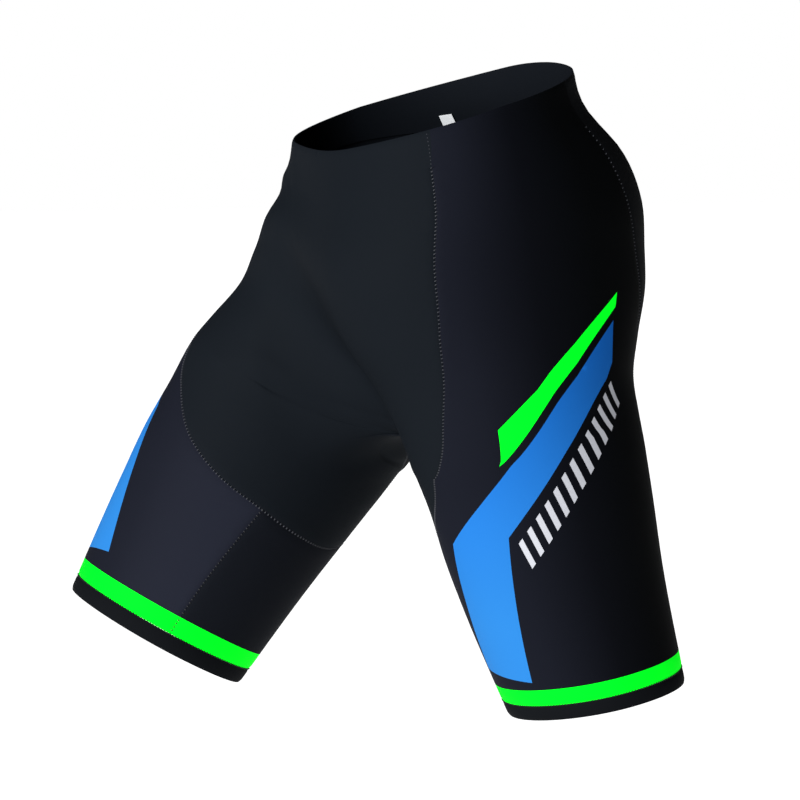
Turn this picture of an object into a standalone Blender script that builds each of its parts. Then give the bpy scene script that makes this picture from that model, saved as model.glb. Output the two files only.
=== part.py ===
"""Cycling shorts in the shape they are worn in, hollow, one leg striding forward.

Metres, +Z up. The origin is the middle of the waist opening. The wearer faces -Y and
the wearer's left is +X. Each panel that is cut and sewn is one object: a cloth wall
with real thickness, 0.3 mm clear of its neighbours along the seams.
"""

import math
from collections import namedtuple

import bpy
import numpy as np
from mathutils import Vector
from mathutils.geometry import delaunay_2d_cdt
from mathutils.kdtree import KDTree

MM = 0.001

# Driving sizes of the garment, in millimetres
SIDE_LENGTH = 480.0  # waist edge to hem, down the outer side
CROTCH_DEPTH = 268.0  # side waist to the lowest point between the legs
WAIST_TILT = 36.0  # how far the front edge sits below the side, and the back edge above it
WAISTBAND = 28.0  # height of the elastic casing
GRIPPER = 12.0  # height of the elastic band at each hem
CLOTH = 1.8  # wall of a single panel
ELASTIC = 2.4  # wall of the waistband and the leg grippers
SEAM_GAP = 0.3  # clearance between panels at a seam
MESH_STEP = 15.0  # spacing of the points over a panel
CROTCH_STEP = 8.0  # spacing where the cloth turns under between the legs
TIGHT_WIDTH, TIGHT_ABOVE, TIGHT_BELOW = 75.0, 110.0, 40.0  # how far that tight part reaches
PANEL_WIDTH = 500.0  # cloth from front centre round the side to back centre, on average
LABEL_AROUND = 0.672  # where the care label hangs inside the right half
LABEL_TOP = 19.0
LABEL_WIDTH = 14.0
LABEL_LENGTH = 26.0
LABEL_CLOTH = 1.0
INNER_SLIDE = 0.12  # how softly the rows start to run straight down the inner thigh
CENTRE_BLEND, LEG_BLEND = 60.0, 8.0  # width shared by both legs' strides, above and below
BLEND_START, BLEND_RUN = 200.0, 140.0  # where that width narrows, measured down from the waist
HALVINGS = 40  # steps that close in on a section's edge
SPLINE_STEPS = 24  # points drawn between two seam controls
WELD = 0.03  # points nearer than this are one point
CREASE_ANGLE = 60.0  # sharper edges than this stay crisp, in degrees

# Stride of the legs. Swing is forward and spread outward, in degrees; girth and reach are how
# far the thigh fills and draws out the tube; hem_lean is how far the hem leans back, in degrees.
Leg = namedtuple("Leg", "side swing spread hip_depth girth reach hem_lean")
LEFT_LEG = Leg(side=1, swing=-16.0, spread=4.6, hip_depth=165, girth=0.97, reach=1.0, hem_lean=6.0)
RIGHT_LEG = Leg(side=-1, swing=31.0, spread=7.6, hip_depth=126, girth=1.09, reach=1.05, hem_lean=-2.0)
HIP_WIDTH = 88.0  # each hip's distance out from the middle
HIP_BACK = 12.0  # and behind it
BEND_REACH = 135.0  # cloth above and below the hip that takes up the bend

# Sections of one half of the figure that the cloth is stretched over, in millimetres.
# depth is below the waist; leg_x and leg_y place the middle of the thigh; across,
# front and back are its radii; web is how far the cloth spans the dip between the legs.
Section = namedtuple("Section", "depth leg_x leg_y across front back web")
CROTCH_WEB = 2.0
CROTCH_LEG_X = 97.0
CROTCH_ACROSS = CROTCH_LEG_X / math.sqrt(1 + CROTCH_WEB / 4)
SECTIONS = [
    Section(-60, 40, 0, 93, 89, 97, 1.0),
    Section(0, 40, 0, 95, 91, 110, 1.0),
    Section(35, 44, 4, 103, 100, 138, 1.0),
    Section(75, 52, 8, 108, 113, 150, 1.0),
    Section(120, 62, 12, 106, 128, 147, 1.2),
    Section(165, 74, 14, 99, 119, 138, 1.5),
    Section(205, 86, 12, 91, 101, 120, 1.8),
    Section(240, 93, 8, 84, 94, 106, 2.0),
    Section(CROTCH_DEPTH, CROTCH_LEG_X, 6, CROTCH_ACROSS, 93, 101, CROTCH_WEB),
    Section(300, 97, 4, 79, 89, 98, 1.2),
    Section(340, 96, 2, 79, 86, 94, 0.6),
    Section(380, 94, 0, 78, 80, 90, 0.2),
    Section(500, 92, 0, 73, 64, 78, 0.2),
]


def smooth_through(x, xs, ys):
    """The smooth curve through the points (xs, ys), read at x."""
    xs, ys = np.asarray(xs, float), np.asarray(ys, float)
    slopes = np.gradient(ys, xs)
    k = np.clip(np.searchsorted(xs, x) - 1, 0, len(xs) - 2)
    width = xs[k + 1] - xs[k]
    t = np.clip((x - xs[k]) / width, 0, 1)
    rise = ys[k + 1] - ys[k]
    bend = t * (1 - t) * (slopes[k] * (1 - t) - slopes[k + 1] * t) * width
    ease = t * t * (3 - 2 * t)
    return ys[k] + rise * ease + bend


def size_at(depth, name):
    """One column of the section table at a depth."""
    return smooth_through(depth, [s.depth for s in SECTIONS], [getattr(s, name) for s in SECTIONS])


def first_angle(depth):
    """Where the front centre line lies in the section, as an angle round the thigh."""
    reach = size_at(depth, "across") * np.sqrt(1 + size_at(depth, "web") / 4)
    return np.arccos(np.clip(size_at(depth, "leg_x") / reach, 0, 1))


def section_point(depth, angle):
    """A point of the left half's section: angle 0 is the inner thigh, 90 degrees its front."""
    leg_x, across, web = (size_at(depth, n) for n in ("leg_x", "across", "web"))
    fore_aft = np.where(np.sin(angle) > 0, size_at(depth, "front"), size_at(depth, "back"))
    low, high = np.ones_like(leg_x), np.sqrt(1 + web / 4)
    inward = np.cos(angle) > 1e-9
    to_centre = leg_x / (across * np.where(inward, np.cos(angle), 1))
    high = np.where(inward, np.minimum(high, np.maximum(to_centre, 1)), high)
    for _ in range(HALVINGS):
        middle = (low + high) / 2
        x = leg_x - middle * across * np.cos(angle)
        span = np.maximum(1 - 4 * leg_x * x / (web * across**2), 0)
        inside = middle**2 - 1 < web / 4 * span**2
        low, high = np.where(inside, middle, low), np.where(inside, high, middle)
    x = leg_x - low * across * np.cos(angle)
    y = size_at(depth, "leg_y") - low * fore_aft * np.sin(angle)
    return x, y


def depth_of(around, down):
    """Depth of the lattice point: rows follow the waist at the top and the crotch at the middle."""
    fall = np.clip(down / CROTCH_DEPTH, 0, 1)
    ease = np.sin(fall * math.pi / 2)
    front = WAIST_TILT + (CROTCH_DEPTH - WAIST_TILT) * ease
    back = -WAIST_TILT + (CROTCH_DEPTH + WAIST_TILT) * ease
    leg = np.clip((down - CROTCH_DEPTH) / (SIDE_LENGTH - CROTCH_DEPTH), 0, None)
    whole = math.sqrt(1 + INNER_SLIDE**2) - INNER_SLIDE
    slide = (np.sqrt(leg**2 + INNER_SLIDE**2) - INNER_SLIDE) / whole
    inner = slide * (SIDE_LENGTH - CROTCH_DEPTH)
    turn = np.cos(math.pi * around)
    middle = (front + back) / 2 + inner
    return down + (middle - down) * turn**2 + (front - back) / 2 * turn


def neutral_point(around, down):
    """The left half standing straight. around runs 0 to 1 from front centre to back centre."""
    around, down = np.asarray(around, float), np.asarray(down, float)
    leg = down >= CROTCH_DEPTH
    around = np.where(leg, around % 1.0, np.clip(around, 0, 1))
    depth = depth_of(around, down)
    first = np.where(leg, 0.0, first_angle(depth))
    angle = first + around * (2 * math.pi - 2 * first)
    x, y = section_point(depth, angle)
    return np.stack([x, y, -depth], axis=-1)


def smooth_step(t):
    t = np.clip(t, 0, 1)
    return t * t * (3 - 2 * t)


def leg_move(points, leg):
    """How far each point moves as one leg swings, spreads and fills its tube."""
    depth = -points[:, 2]
    bend = smooth_step((depth - leg.hip_depth) / (2 * BEND_REACH) + 0.5)[:, None]
    fill = 1 + (np.array([leg.girth, leg.girth, leg.reach]) - 1) * bend
    hip = np.array([leg.side * HIP_WIDTH, HIP_BACK, -leg.hip_depth])
    swing, spread = math.radians(leg.swing), math.radians(leg.spread) * leg.side
    lean = math.tan(math.radians(leg.hem_lean))
    x, y, z = ((points - hip) * fill).T
    below = smooth_step((depth - CROTCH_DEPTH) / (SIDE_LENGTH - CROTCH_DEPTH))
    z = z - below * lean * (y + HIP_BACK)
    x, z = x * math.cos(spread) - z * math.sin(spread), x * math.sin(spread) + z * math.cos(spread)
    y, z = y * math.cos(swing) + z * math.sin(swing), z * math.cos(swing) - y * math.sin(swing)
    return bend * (np.stack([x, y, z], axis=-1) + hip - points)


def stride(points):
    """Moves standing points into the stride, each leg turning about its own hip."""
    depth = -points[:, 2]
    narrowing = smooth_step((depth - BLEND_START) / BLEND_RUN)
    width = CENTRE_BLEND + (LEG_BLEND - CENTRE_BLEND) * narrowing
    left = smooth_step((points[:, 0] / width + 1) / 2)[:, None]
    return points + left * leg_move(points, LEFT_LEG) + (1 - left) * leg_move(points, RIGHT_LEG)


def cloth_point(side, around, down):
    """Points of the garment's outer surface, in metres. around may run past either centre."""
    side, around, down = (np.asarray(v, float) for v in np.broadcast_arrays(side, around, down))
    torso = down < CROTCH_DEPTH
    across_centre = torso & ((around < 0) | (around > 1))
    around = np.where(torso & (around < 0), -around, around)
    around = np.where(torso & (around > 1), 2 - around, around)
    points = neutral_point(around, down).reshape(-1, 3)
    points[:, 0] *= np.where(across_centre, -side, side).ravel()
    return stride(points) * MM


def outward(side, around, down):
    """The way the cloth faces at each point, from its slopes round and down the garment."""
    turn, drop = 0.004, 1.5
    round_it = cloth_point(side, around + turn, down) - cloth_point(side, around - turn, down)
    down_it = cloth_point(side, around, down + drop) - cloth_point(side, around, down - drop)
    facing = np.cross(down_it, round_it) * np.reshape(side, (-1, 1))
    return facing / np.linalg.norm(facing, axis=1, keepdims=True)


# Seams of the left half as they run over the garment. around is 0 at front centre and 1 at
# back centre, and below the crotch 0 is the inner thigh; less than 0 is behind it.
Seam = namedtuple("Seam", "around down")
HEM_SEAM = SIDE_LENGTH - GRIPPER
KNEE_POINT = Seam(0.010, 362)  # where front, side and inner leg panels meet
SEAT_POINT = Seam(-0.20, 351)  # where front, back and inner leg panels meet
SEAT_JOIN = 190.0  # where the front panel ends at the back centre seam
FRONT_SEAM = [
    Seam(0.333, WAISTBAND),
    Seam(0.349, 70),
    Seam(0.354, 120),
    Seam(0.340, 160),
    Seam(0.310, 207),
    Seam(0.293, 247),
    Seam(0.268, 285),
    Seam(0.218, 314),
    Seam(0.158, 340),
    Seam(0.086, 356),
    KNEE_POINT,
]
UNDER_THIGH_SEAM = [KNEE_POINT, Seam(-0.05, 365), Seam(-0.12, 363), SEAT_POINT]
SEAT_SEAM = [
    SEAT_POINT,
    Seam(-0.21, 318),
    Seam(-0.19, 280),
    Seam(-0.13, 238),
    Seam(-0.06, 206),
    Seam(0, SEAT_JOIN),
]
LEG_SEAM = [KNEE_POINT, Seam(0.018, 392), Seam(0.028, 430), Seam(0.034, HEM_SEAM)]
INSEAM = [SEAT_POINT, Seam(-0.20, HEM_SEAM)]
BACK_SEAM = [
    Seam(0.68, WAISTBAND),
    Seam(0.70, 90),
    Seam(0.715, 180),
    Seam(0.72, 268),
    Seam(0.72, HEM_SEAM),
]


def seam_curve(controls, step=MESH_STEP):
    """Evenly spaced points on a smooth curve through a seam's controls, in panel millimetres."""
    ends = np.array([[c.around * PANEL_WIDTH, c.down] for c in controls], float)
    if len(ends) > 2:
        before, after = 2 * ends[0] - ends[1], 2 * ends[-1] - ends[-2]
        knots = np.vstack([before, ends, after])
        t = np.linspace(0, 1, SPLINE_STEPS, endpoint=False)[:, None]
        pieces = []
        for a, b, c, d in zip(knots, knots[1:], knots[2:], knots[3:]):
            square, cube = 2 * a - 5 * b + 4 * c - d, 3 * (b - c) + d - a
            pieces.append(b + t / 2 * (c - a + t * (square + t * cube)))
        ends = np.vstack(pieces + [ends[-1:]])
    run = np.concatenate([[0], np.cumsum(np.linalg.norm(np.diff(ends, axis=0), axis=1))])
    count = max(2, int(round(run[-1] / step)) + 1)
    along = np.linspace(0, run[-1], count)
    return np.stack([np.interp(along, run, ends[:, 0]), np.interp(along, run, ends[:, 1])], axis=1)


def straight(start, end, step=MESH_STEP):
    return seam_curve([Seam(*start), Seam(*end)], step)


def under_thigh_curve():
    """The front panel's lower edge, with one point on the middle line of the inner thigh."""
    curve = seam_curve(UNDER_THIGH_SEAM)
    curve[np.argmin(np.abs(curve[:, 0])), 0] = 0
    return curve


def seat_curve():
    return seam_curve(SEAT_SEAM, CROTCH_STEP)


def outline(*runs):
    """Joins runs of points, each given with the clearance of its edge, into one closed outline."""
    points = np.vstack([run[:-1] for run, _ in runs])
    clearances = np.concatenate([np.full(len(run) - 1, clearance) for run, clearance in runs])
    return points, clearances


def stretch(points, way):
    """Millimetres of cloth for each millimetre moved in the panel plane, the halves' average."""
    reach = 0.5
    total = 0
    for side in (1, -1):
        ends = [points + sign * reach * way for sign in (1, -1)]
        ends = [cloth_point(side, end[:, 0] / PANEL_WIDTH, end[:, 1]) for end in ends]
        total = total + np.linalg.norm(ends[0] - ends[1], axis=1) / (2 * reach * MM)
    return total / 2


def trimmed(points, clearances):
    """The outline moved in from its sewn edges, so that neighbours stay clear of each other."""
    along = np.roll(points, -1, axis=0) - points
    along /= np.linalg.norm(along, axis=1, keepdims=True)
    turning = np.sum(np.cross(np.roll(along, 1, axis=0), along))
    inward = np.stack([-along[:, 1], along[:, 0]], axis=1) * np.sign(turning)
    shift = clearances / stretch(points, inward)
    before, before_shift = np.roll(inward, 1, axis=0), np.roll(shift, 1)
    moved = []
    for point, n0, n1, s0, s1 in zip(points, before, inward, before_shift, shift):
        if abs(np.cross(n0, n1)) < 0.05:
            moved.append(point + (n0 * s0 + n1 * s1) / 2)
        else:
            moved.append(point + np.linalg.solve(np.array([n0, n1]), np.array([s0, s1])))
    return np.array(moved)


def near_crotch(points):
    """True where points in the panel plane lie in the tight curves between the legs."""
    along = np.abs(points[..., 0] - PANEL_WIDTH * np.round(points[..., 0] / PANEL_WIDTH))
    below = points[..., 1] - CROTCH_DEPTH
    return (along < TIGHT_WIDTH) & (below > -TIGHT_ABOVE) & (below < TIGHT_BELOW)


def staggered(low, high, step):
    rows = np.arange(low[1], high[1], step * 0.9)
    columns = np.arange(low[0], high[0], step)
    return np.array([(x + (k % 2) * step / 2, y) for k, y in enumerate(rows) for x in columns])


def inner_points(edge):
    """Staggered points inside an outline, closer near the crotch and none near the edge."""
    low, high = edge.min(axis=0), edge.max(axis=0)
    wide, tight = staggered(low, high, MESH_STEP), staggered(low, high, CROTCH_STEP)
    grid = np.vstack([wide[~near_crotch(wide)], tight[near_crotch(tight)]])
    room = np.where(near_crotch(grid), CROTCH_STEP, MESH_STEP) / 2
    grid = grid[:, None, :]
    start, end = edge[None], np.roll(edge, -1, axis=0)[None]
    run = end - start
    t = np.clip(np.sum((grid - start) * run, axis=2) / np.sum(run * run, axis=2), 0, 1)
    away = np.linalg.norm(grid - start - t[..., None] * run, axis=2).min(axis=1)
    above = (start[..., 1] > grid[..., 1]) != (end[..., 1] > grid[..., 1])
    level = np.where(run[..., 1] == 0, 1, run[..., 1])
    meets = start[..., 0] + (grid[..., 1] - start[..., 1]) / level * run[..., 0]
    inside = np.sum(above & (grid[..., 0] < meets), axis=1) % 2 == 1
    return grid[inside & (away > room), 0]


def triangulated(side, points, clearances):
    """A patch of one panel: its points as (side, around, down) and its triangles, facing out."""
    edge = trimmed(points, clearances)
    inner = inner_points(edge)
    flat = [Vector(p) for p in np.vstack([edge, inner])]
    loop = [(k, (k + 1) % len(edge)) for k in range(len(edge))]
    found, _, triangles, *_ = delaunay_2d_cdt(flat, loop, [list(range(len(edge)))], 1, 1e-6)
    found = np.array([tuple(p) for p in found])
    places = np.column_stack([np.full(len(found), side), found[:, 0] / PANEL_WIDTH, found[:, 1]])
    corners = []
    for triangle in triangles:
        a, b, c = found[list(triangle)]
        turns_left = np.cross(b - a, c - a) > 0
        corners.append(tuple(triangle) if turns_left == (side < 0) else tuple(reversed(triangle)))
    return places, corners


def welded(points):
    """For each point, the first point that lies in the same place."""
    tree = KDTree(len(points))
    for k, point in enumerate(points):
        tree.insert(point, k)
    tree.balance()
    return [min(hit[1] for hit in tree.find_range(point, WELD * MM)) for point in points]


def cloth_wall(name, patches, thickness, material, inset=0.0):
    """One sewn piece: patches joined into a sheet, then given a wall inside the surface.

    The cut edges are split along their shorter diagonals, which pieces that meet share.
    """
    places, triangles = [], []
    for patch_places, patch_triangles in patches:
        start = sum(len(p) for p in places)
        places.append(patch_places)
        triangles += [tuple(start + k for k in t) for t in patch_triangles]
    side, around, down = np.vstack(places).T
    points = cloth_point(side, around, down)
    facing = outward(side, around, down)
    first = welded(points)
    shared = np.zeros_like(facing)
    np.add.at(shared, first, facing)
    facing = shared[first]
    facing /= np.linalg.norm(facing, axis=1, keepdims=True)
    kept = sorted(set(first))
    number = {old: new for new, old in enumerate(kept)}
    triangles = [tuple(number[first[k]] for k in t) for t in triangles]
    outer = points[kept] - facing[kept] * inset * MM
    inner = outer - facing[kept] * thickness * MM
    count = len(kept)
    used = {(a, b) for t in triangles for a, b in zip(t, t[1:] + t[:1])}
    rim = []
    for a, b in sorted(edge for edge in used if edge[::-1] not in used):
        if np.linalg.norm(outer[a] - inner[b]) < np.linalg.norm(outer[b] - inner[a]):
            rim += [(b, a, b + count), (a, a + count, b + count)]
        else:
            rim += [(b, a, a + count), (b, a + count, b + count)]
    inside = [tuple(k + count for k in reversed(t)) for t in triangles]
    mesh = bpy.data.meshes.new(name)
    mesh.from_pydata(np.vstack([outer, inner]).tolist(), [], triangles + inside + rim)
    mesh.shade_smooth()
    mesh.set_sharp_from_angle(angle=math.radians(CREASE_ANGLE))
    mesh.materials.append(material)
    piece = bpy.data.objects.new(name, mesh)
    bpy.context.scene.collection.objects.link(piece)
    return piece


def finish(name, colour, roughness):
    material = bpy.data.materials.new(name)
    material.use_nodes = True
    shader = material.node_tree.nodes["Principled BSDF"]
    shader.inputs["Base Color"].default_value = (*colour, 1)
    shader.inputs["Roughness"].default_value = roughness
    shader.inputs["Metallic"].default_value = 0
    return material


SEWN = SEAM_GAP / 2
OPEN = 0.0
KNIT = finish("black_knit", (0.02, 0.021, 0.026), 0.75)
BAND = finish("black_elastic", (0.015, 0.015, 0.018), 0.8)
TAPE = finish("white_tape", (0.85, 0.85, 0.85), 0.7)


def back_view(curve):
    """The same run of cloth, counted on past the back centre instead of behind the inner thigh."""
    return curve + [PANEL_WIDTH, 0]


def ring_patch(side, top, bottom, top_clearance, bottom_clearance, start, end):
    """A level strip of cloth from one place round the garment to another."""
    left, right = start * PANEL_WIDTH, end * PANEL_WIDTH
    edges = (
        (straight((start, top), (end, top)), top_clearance),
        (straight((end, top), (end, bottom)), OPEN),
        (straight((end, bottom), (start, bottom)), bottom_clearance),
        (straight((start, bottom), (start, top)), OPEN),
    )
    return triangulated(side, *outline(*edges))


def waistband():
    """The elastic casing, one ring."""
    halves = [ring_patch(side, 0, WAISTBAND, OPEN, SEWN, 0, 1) for side in (1, -1)]
    return cloth_wall("waistband", halves, ELASTIC, BAND)


def leg_gripper(name, side):
    """The elastic band round one hem."""
    ring = ring_patch(side, HEM_SEAM, SIDE_LENGTH, SEWN, OPEN, 0, 1)
    return cloth_wall(name, [ring], ELASTIC, BAND)


def front_panel():
    """One piece from the waist to the crotch and on round the inside of both thighs."""
    front, under, seat = seam_curve(FRONT_SEAM), under_thigh_curve(), seat_curve()
    meet = np.argmin(np.abs(under[:, 0]))
    inner_line = straight((0, under[meet, 1]), (0, CROTCH_DEPTH), CROTCH_STEP)
    centre_front = straight((0, CROTCH_DEPTH), (0, WAISTBAND), CROTCH_STEP)
    centre_back = straight((0, SEAT_JOIN), (0, CROTCH_DEPTH), CROTCH_STEP)
    top = straight((0, WAISTBAND), (FRONT_SEAM[0].around, WAISTBAND))
    sewn_edges = (top, SEWN), (front, SEWN), (under[: meet + 1], SEWN)
    fore = outline(*sewn_edges, (inner_line, OPEN), (centre_front, OPEN))
    rear = outline((under[meet:], SEWN), (seat, SEWN), (centre_back, OPEN), (inner_line[::-1], OPEN))
    rear = (back_view(rear[0]), rear[1])
    patches = []
    for side in (1, -1):
        patches.append(triangulated(side, *fore))
        patches.append(triangulated(side, *rear))
    return cloth_wall("front_panel", patches, CLOTH, KNIT)


def side_panel(name, side):
    """Over the outer thigh from the waist to the hem, between the front and back seams."""
    front, back, leg = seam_curve(FRONT_SEAM), seam_curve(BACK_SEAM), seam_curve(LEG_SEAM)
    top = straight((FRONT_SEAM[0].around, WAISTBAND), (BACK_SEAM[0].around, WAISTBAND))
    hem = straight((BACK_SEAM[-1].around, HEM_SEAM), (LEG_SEAM[-1].around, HEM_SEAM))
    edge = outline((top, SEWN), (back, SEWN), (hem, SEWN), (leg[::-1], SEWN), (front[::-1], SEWN))
    return cloth_wall(name, [triangulated(side, *edge)], CLOTH, KNIT)


def back_panel(name, side):
    """Over the seat and down the back of one thigh, meeting its twin at the back centre seam."""
    back, seat, inseam = seam_curve(BACK_SEAM), seat_curve(), seam_curve(INSEAM)
    top = straight((BACK_SEAM[0].around, WAISTBAND), (1, WAISTBAND))
    centre_back = straight((1, WAISTBAND), (1, SEAT_JOIN))
    hem = straight((1 + INSEAM[-1].around, HEM_SEAM), (BACK_SEAM[-1].around, HEM_SEAM))
    edge = outline(
        (top, SEWN),
        (centre_back, SEWN),
        (back_view(seat)[::-1], SEWN),
        (back_view(inseam), SEWN),
        (hem, SEWN),
        (back[::-1], SEWN),
    )
    return cloth_wall(name, [triangulated(side, *edge)], CLOTH, KNIT)


def inner_leg_panel(name, side):
    """Round the inside of one thigh, from below the front panel to the hem."""
    leg, under, inseam = seam_curve(LEG_SEAM), under_thigh_curve(), seam_curve(INSEAM)
    hem = straight((LEG_SEAM[-1].around, HEM_SEAM), (INSEAM[-1].around, HEM_SEAM))
    edge = outline((leg, SEWN), (hem, SEWN), (inseam[::-1], SEWN), (under[::-1], SEWN))
    return cloth_wall(name, [triangulated(side, *edge)], CLOTH, KNIT)


def care_label():
    """A blank tape label inside the back of the casing, clear of the cloth behind it."""
    half = LABEL_WIDTH / 2 / PANEL_WIDTH
    start, end = LABEL_AROUND - half, LABEL_AROUND + half
    patch = ring_patch(-1, LABEL_TOP, LABEL_TOP + LABEL_LENGTH, OPEN, OPEN, start, end)
    return cloth_wall("care_label", [patch], LABEL_CLOTH, TAPE, inset=ELASTIC + SEAM_GAP)


def build():
    for thing in list(bpy.data.objects):
        bpy.data.objects.remove(thing)
    waistband()
    front_panel()
    for name, side in (("left", 1), ("right", -1)):
        side_panel("side_panel_" + name, side)
        back_panel("back_panel_" + name, side)
        inner_leg_panel("inner_leg_panel_" + name, side)
        leg_gripper("leg_gripper_" + name, side)
    care_label()


if __name__ == "__main__":
    build()
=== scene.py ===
import math
from collections import namedtuple

import bpy
import numpy as np
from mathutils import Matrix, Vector
from mathutils.geometry import delaunay_2d_cdt
from mathutils.kdtree import KDTree


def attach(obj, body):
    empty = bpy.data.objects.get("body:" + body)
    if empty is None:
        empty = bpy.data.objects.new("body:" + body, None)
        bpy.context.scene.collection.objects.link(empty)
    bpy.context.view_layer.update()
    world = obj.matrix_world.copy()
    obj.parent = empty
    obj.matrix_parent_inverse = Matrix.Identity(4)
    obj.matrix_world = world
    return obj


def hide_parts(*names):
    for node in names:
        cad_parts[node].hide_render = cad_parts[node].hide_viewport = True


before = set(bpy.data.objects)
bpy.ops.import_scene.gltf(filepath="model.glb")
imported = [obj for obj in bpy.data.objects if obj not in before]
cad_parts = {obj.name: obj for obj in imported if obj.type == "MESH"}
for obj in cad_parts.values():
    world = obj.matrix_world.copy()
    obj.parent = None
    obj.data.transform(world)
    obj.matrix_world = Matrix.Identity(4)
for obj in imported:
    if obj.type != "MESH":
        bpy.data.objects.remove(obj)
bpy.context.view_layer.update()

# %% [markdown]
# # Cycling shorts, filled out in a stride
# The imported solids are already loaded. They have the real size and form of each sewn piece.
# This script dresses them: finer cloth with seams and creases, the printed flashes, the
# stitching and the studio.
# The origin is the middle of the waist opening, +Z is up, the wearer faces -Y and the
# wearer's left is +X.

MM = 0.001
SIDE_LENGTH = 480.0  # waist edge to hem, down the outer side
CROTCH_DEPTH = 268.0  # side waist to the lowest point between the legs
WAIST_TILT = 36.0  # how far the front edge sits below the side, and the back edge above it
WAISTBAND = 28.0  # height of the elastic casing
GRIPPER = 12.0  # height of the elastic band at each hem
HEM_SEAM = SIDE_LENGTH - GRIPPER
STRIPE_TOP = 454.5  # the green stripe runs from here down to the hem seam
SEAM_GAP = 0.3  # clearance between panels at a seam
PANEL_WIDTH = 500.0  # cloth from front centre round the side to back centre, on average

# %% [markdown]
# ## The form under the cloth
# Stretch knit takes the form of whoever wears it, so the cloth is drawn over a plain
# figure. The figure is a table of level sections of one half of the body. Each has the
# place and radii of the thigh, and a web that says how far the cloth spans the dip
# between the legs. A smooth curve through each column gives every depth in between.

# %% Sections of the figure
Section = namedtuple("Section", "depth leg_x leg_y across front back web")
CROTCH_WEB = 2.0
CROTCH_LEG_X = 97.0
CROTCH_ACROSS = CROTCH_LEG_X / math.sqrt(1 + CROTCH_WEB / 4)
SECTIONS = [
    Section(-60, 40, 0, 93, 89, 97, 1.0),
    Section(0, 40, 0, 95, 91, 110, 1.0),
    Section(35, 44, 4, 103, 100, 138, 1.0),
    Section(75, 52, 8, 108, 113, 150, 1.0),
    Section(120, 62, 12, 106, 128, 147, 1.2),
    Section(165, 74, 14, 99, 119, 138, 1.5),
    Section(205, 86, 12, 91, 101, 120, 1.8),
    Section(240, 93, 8, 84, 94, 106, 2.0),
    Section(CROTCH_DEPTH, CROTCH_LEG_X, 6, CROTCH_ACROSS, 93, 101, CROTCH_WEB),
    Section(300, 97, 4, 79, 89, 98, 1.2),
    Section(340, 96, 2, 79, 86, 94, 0.6),
    Section(380, 94, 0, 78, 80, 90, 0.2),
    Section(500, 92, 0, 73, 64, 78, 0.2),
]
HALVINGS = 40  # steps that close in on a section's edge
INNER_SLIDE = 0.12  # how softly the rows start to run straight down the inner thigh


def smooth_through(x, xs, ys):
    """The smooth curve through the points (xs, ys), read at x."""
    xs, ys = np.asarray(xs, float), np.asarray(ys, float)
    slopes = np.gradient(ys, xs)
    k = np.clip(np.searchsorted(xs, x) - 1, 0, len(xs) - 2)
    width = xs[k + 1] - xs[k]
    t = np.clip((x - xs[k]) / width, 0, 1)
    rise = ys[k + 1] - ys[k]
    bend = t * (1 - t) * (slopes[k] * (1 - t) - slopes[k + 1] * t) * width
    return ys[k] + rise * t * t * (3 - 2 * t) + bend


def smooth_step(t):
    """Rises from 0 to 1 with level ends."""
    t = np.clip(t, 0, 1)
    return t * t * (3 - 2 * t)


def size_at(depth, name):
    """One column of the section table at a depth."""
    return smooth_through(depth, [s.depth for s in SECTIONS], [getattr(s, name) for s in SECTIONS])


def first_angle(depth):
    """Where the front centre line lies in the section, as an angle round the thigh."""
    reach = size_at(depth, "across") * np.sqrt(1 + size_at(depth, "web") / 4)
    return np.arccos(np.clip(size_at(depth, "leg_x") / reach, 0, 1))


def section_point(depth, angle):
    """A point of the left half's section: angle 0 is the inner thigh, 90 degrees its front."""
    leg_x, across, web = (size_at(depth, n) for n in ("leg_x", "across", "web"))
    fore_aft = np.where(np.sin(angle) > 0, size_at(depth, "front"), size_at(depth, "back"))
    low, high = np.ones_like(leg_x), np.sqrt(1 + web / 4)
    inward = np.cos(angle) > 1e-9
    to_centre = leg_x / (across * np.where(inward, np.cos(angle), 1))
    high = np.where(inward, np.minimum(high, np.maximum(to_centre, 1)), high)
    for _ in range(HALVINGS):
        middle = (low + high) / 2
        x = leg_x - middle * across * np.cos(angle)
        span = np.maximum(1 - 4 * leg_x * x / (web * across**2), 0)
        within = middle**2 - 1 < web / 4 * span**2
        low, high = np.where(within, middle, low), np.where(within, high, middle)
    x = leg_x - low * across * np.cos(angle)
    y = size_at(depth, "leg_y") - low * fore_aft * np.sin(angle)
    return x, y


def depth_of(around, down):
    """Depth of a place on the cloth: rows follow the waist above and the crotch in the middle."""
    ease = np.sin(np.clip(down / CROTCH_DEPTH, 0, 1) * math.pi / 2)
    front = WAIST_TILT + (CROTCH_DEPTH - WAIST_TILT) * ease
    back = -WAIST_TILT + (CROTCH_DEPTH + WAIST_TILT) * ease
    leg = np.clip((down - CROTCH_DEPTH) / (SIDE_LENGTH - CROTCH_DEPTH), 0, None)
    whole = math.sqrt(1 + INNER_SLIDE**2) - INNER_SLIDE
    slide = (np.sqrt(leg**2 + INNER_SLIDE**2) - INNER_SLIDE) / whole
    turn = np.cos(math.pi * around)
    middle = (front + back) / 2 + slide * (SIDE_LENGTH - CROTCH_DEPTH)
    return down + (middle - down) * turn**2 + (front - back) / 2 * turn


def neutral_point(around, down):
    """The left half standing straight. around runs 0 to 1 from front centre to back centre."""
    leg = down >= CROTCH_DEPTH
    around = np.where(leg, around % 1.0, np.clip(around, 0, 1))
    depth = depth_of(around, down)
    first = np.where(leg, 0.0, first_angle(depth))
    x, y = section_point(depth, first + around * (2 * math.pi - 2 * first))
    return np.stack([x, y, -depth], axis=-1)


print("sections of the figure:", len(SECTIONS))

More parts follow.
